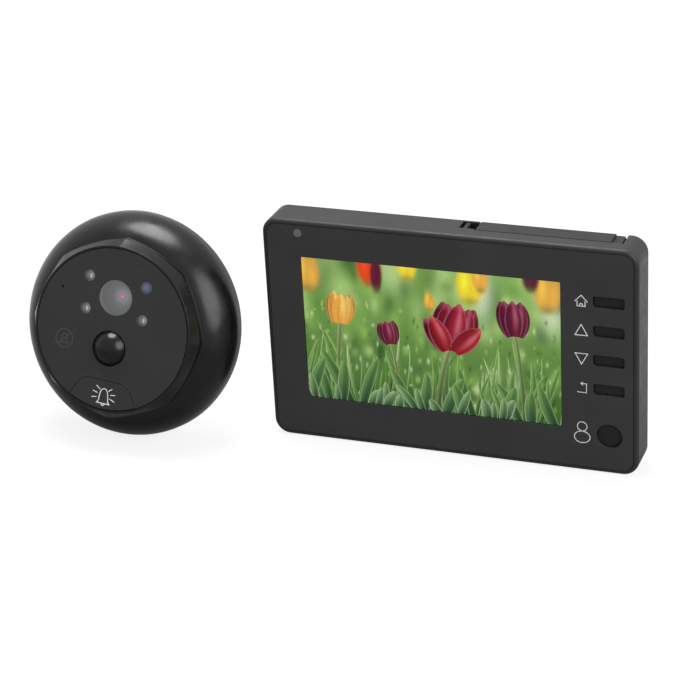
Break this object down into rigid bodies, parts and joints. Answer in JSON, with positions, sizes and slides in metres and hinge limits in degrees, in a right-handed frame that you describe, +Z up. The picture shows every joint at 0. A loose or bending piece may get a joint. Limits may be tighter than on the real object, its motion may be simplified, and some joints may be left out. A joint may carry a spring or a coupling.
{
  "type": "peephole door camera",
  "caption": "Door viewer in two units: an indoor screen with keys, hung on a steel bracket, and a round outdoor camera with a bell button and a stub that goes through the door.",
  "frame": {"origin": "middle of the bracket's two through-screw holes, on the face of the door", "axes": "+X right as seen from the front of the screen, +Y backwards into the door, +Z up"},
  "size_m": [0.2305, 0.0582, 0.086],
  "materials": {
    "housing_plastic": "fine satin texture",
    "panel_plastic": "satin",
    "key_plastic": "satin",
    "door_plastic": "fine satin texture",
    "shell_plastic": "semi-gloss",
    "face_plastic": "fine matte",
    "bell_plastic": "fine matte",
    "dome_plastic": "gloss",
    "screen_glass": "lit picture under a clear sheet",
    "window_glass": "smoked",
    "led_clear": "clear",
    "sensor_tint": "bluish",
    "lens_glass": "coated",
    "light_diffuser": "frosted",
    "board_green": "solder mask",
    "chip_black": "moulded",
    "switch_body": "moulded",
    "socket_metal": "plated",
    "socket_plastic": "moulded",
    "steel": "zinc plated",
    "bracket_steel": "black powder coat",
    "barrel_metal": "bright",
    "contact_metal": "gold plated",
    "flex_film": "amber film",
    "cone_paper": "paper",
    "battery_wrap": "film wrap",
    "tray_white": "folded tray",
    "seal_foam": "closed-cell foam"
  },
  "bodies": {
    "fixed": {"door_bracket": "bracket_steel", "outdoor_shell": "shell_plastic", "outdoor_back": "housing_plastic", "outdoor_back_screws": "steel", "outdoor_face": "face_plastic", "camera_window": "window_glass", "led_windows": "led_clear", "sensor_window": "sensor_tint", "lens_tube": "chip_black", "lens_glass": "lens_glass", "lens_holder": "switch_body", "ir_leds": "led_clear", "light_sensor": "sensor_tint", "pir_dome": "dome_plastic", "pir_sensor": "socket_metal", "microphone": "socket_metal", "bell_switch": "switch_body", "outdoor_board": "board_green", "outdoor_chips": "chip_black", "outdoor_board_screws": "steel", "outdoor_socket": "socket_plastic", "door_barrel": "barrel_metal", "door_seal": "seal_foam"},
    "monitor": {"housing": "housing_plastic", "front_panel": "panel_plastic", "lcd_glass": "screen_glass", "lcd_backlight": "tray_white", "lcd_flex": "flex_film", "key_switches": "switch_body", "key_board": "board_green", "key_flex": "flex_film", "main_board": "board_green", "board_chips": "chip_black", "board_screws": "steel", "light_pipe": "light_diffuser", "status_led": "socket_plastic", "power_switch": "socket_metal", "speaker_frame": "steel", "speaker_cone": "cone_paper", "battery_pack": "battery_wrap", "battery_contacts": "contact_metal", "battery_door_pin": "steel", "usb_socket": "socket_metal", "card_socket": "socket_metal", "ribbon_socket": "socket_plastic", "housing_screws": "steel"},
    "battery_door_body": {"battery_door": "door_plastic"},
    "bell_button_body": {"bell_button": "bell_plastic"},
    "key_back_body": {"key_back": "key_plastic"},
    "key_down_body": {"key_down": "key_plastic"},
    "key_home_body": {"key_home": "key_plastic"},
    "key_up_body": {"key_up": "key_plastic"},
    "key_view_body": {"key_view": "key_plastic"},
    "power_knob_body": {"power_knob": "key_plastic"}
  },
  "joints": [
    {"name": "lift_off", "type": "slide", "parent": "fixed", "child": "monitor", "axis": [0, 0, 1], "range_m": [0, 0.0047]},
    {"name": "key_home_press", "type": "slide", "parent": "monitor", "child": "key_home_body", "axis": [0, 1, 0], "range_m": [0, 0.0003], "stiffness_N_per_m": 1500, "springref_m": -0.0002},
    {"name": "key_up_press", "type": "slide", "parent": "monitor", "child": "key_up_body", "axis": [0, 1, 0], "range_m": [0, 0.0003], "stiffness_N_per_m": 1500, "springref_m": -0.0002},
    {"name": "key_down_press", "type": "slide", "parent": "monitor", "child": "key_down_body", "axis": [0, 1, 0], "range_m": [0, 0.0003], "stiffness_N_per_m": 1500, "springref_m": -0.0002},
    {"name": "key_back_press", "type": "slide", "parent": "monitor", "child": "key_back_body", "axis": [0, 1, 0], "range_m": [0, 0.0003], "stiffness_N_per_m": 1500, "springref_m": -0.0002},
    {"name": "key_view_press", "type": "slide", "parent": "monitor", "child": "key_view_body", "axis": [0, 1, 0], "range_m": [0, 0.0003], "stiffness_N_per_m": 1500, "springref_m": -0.0002},
    {"name": "power_slide", "type": "slide", "parent": "monitor", "child": "power_knob_body", "axis": [1, 0, 0], "range_m": [0, 0.002]},
    {"name": "battery_door_swing", "type": "hinge", "parent": "monitor", "child": "battery_door_body", "pos_m": [0.0854, -0.0045, 0.018], "axis": [0, 0, -1], "range_deg": [0, 100]},
    {"name": "bell_press", "type": "slide", "parent": "fixed", "child": "bell_button_body", "axis": [0, 0.9593, -0.2823], "range_m": [0, 0.0005], "stiffness_N_per_m": 1500, "springref_m": -0.0002}
  ]
}
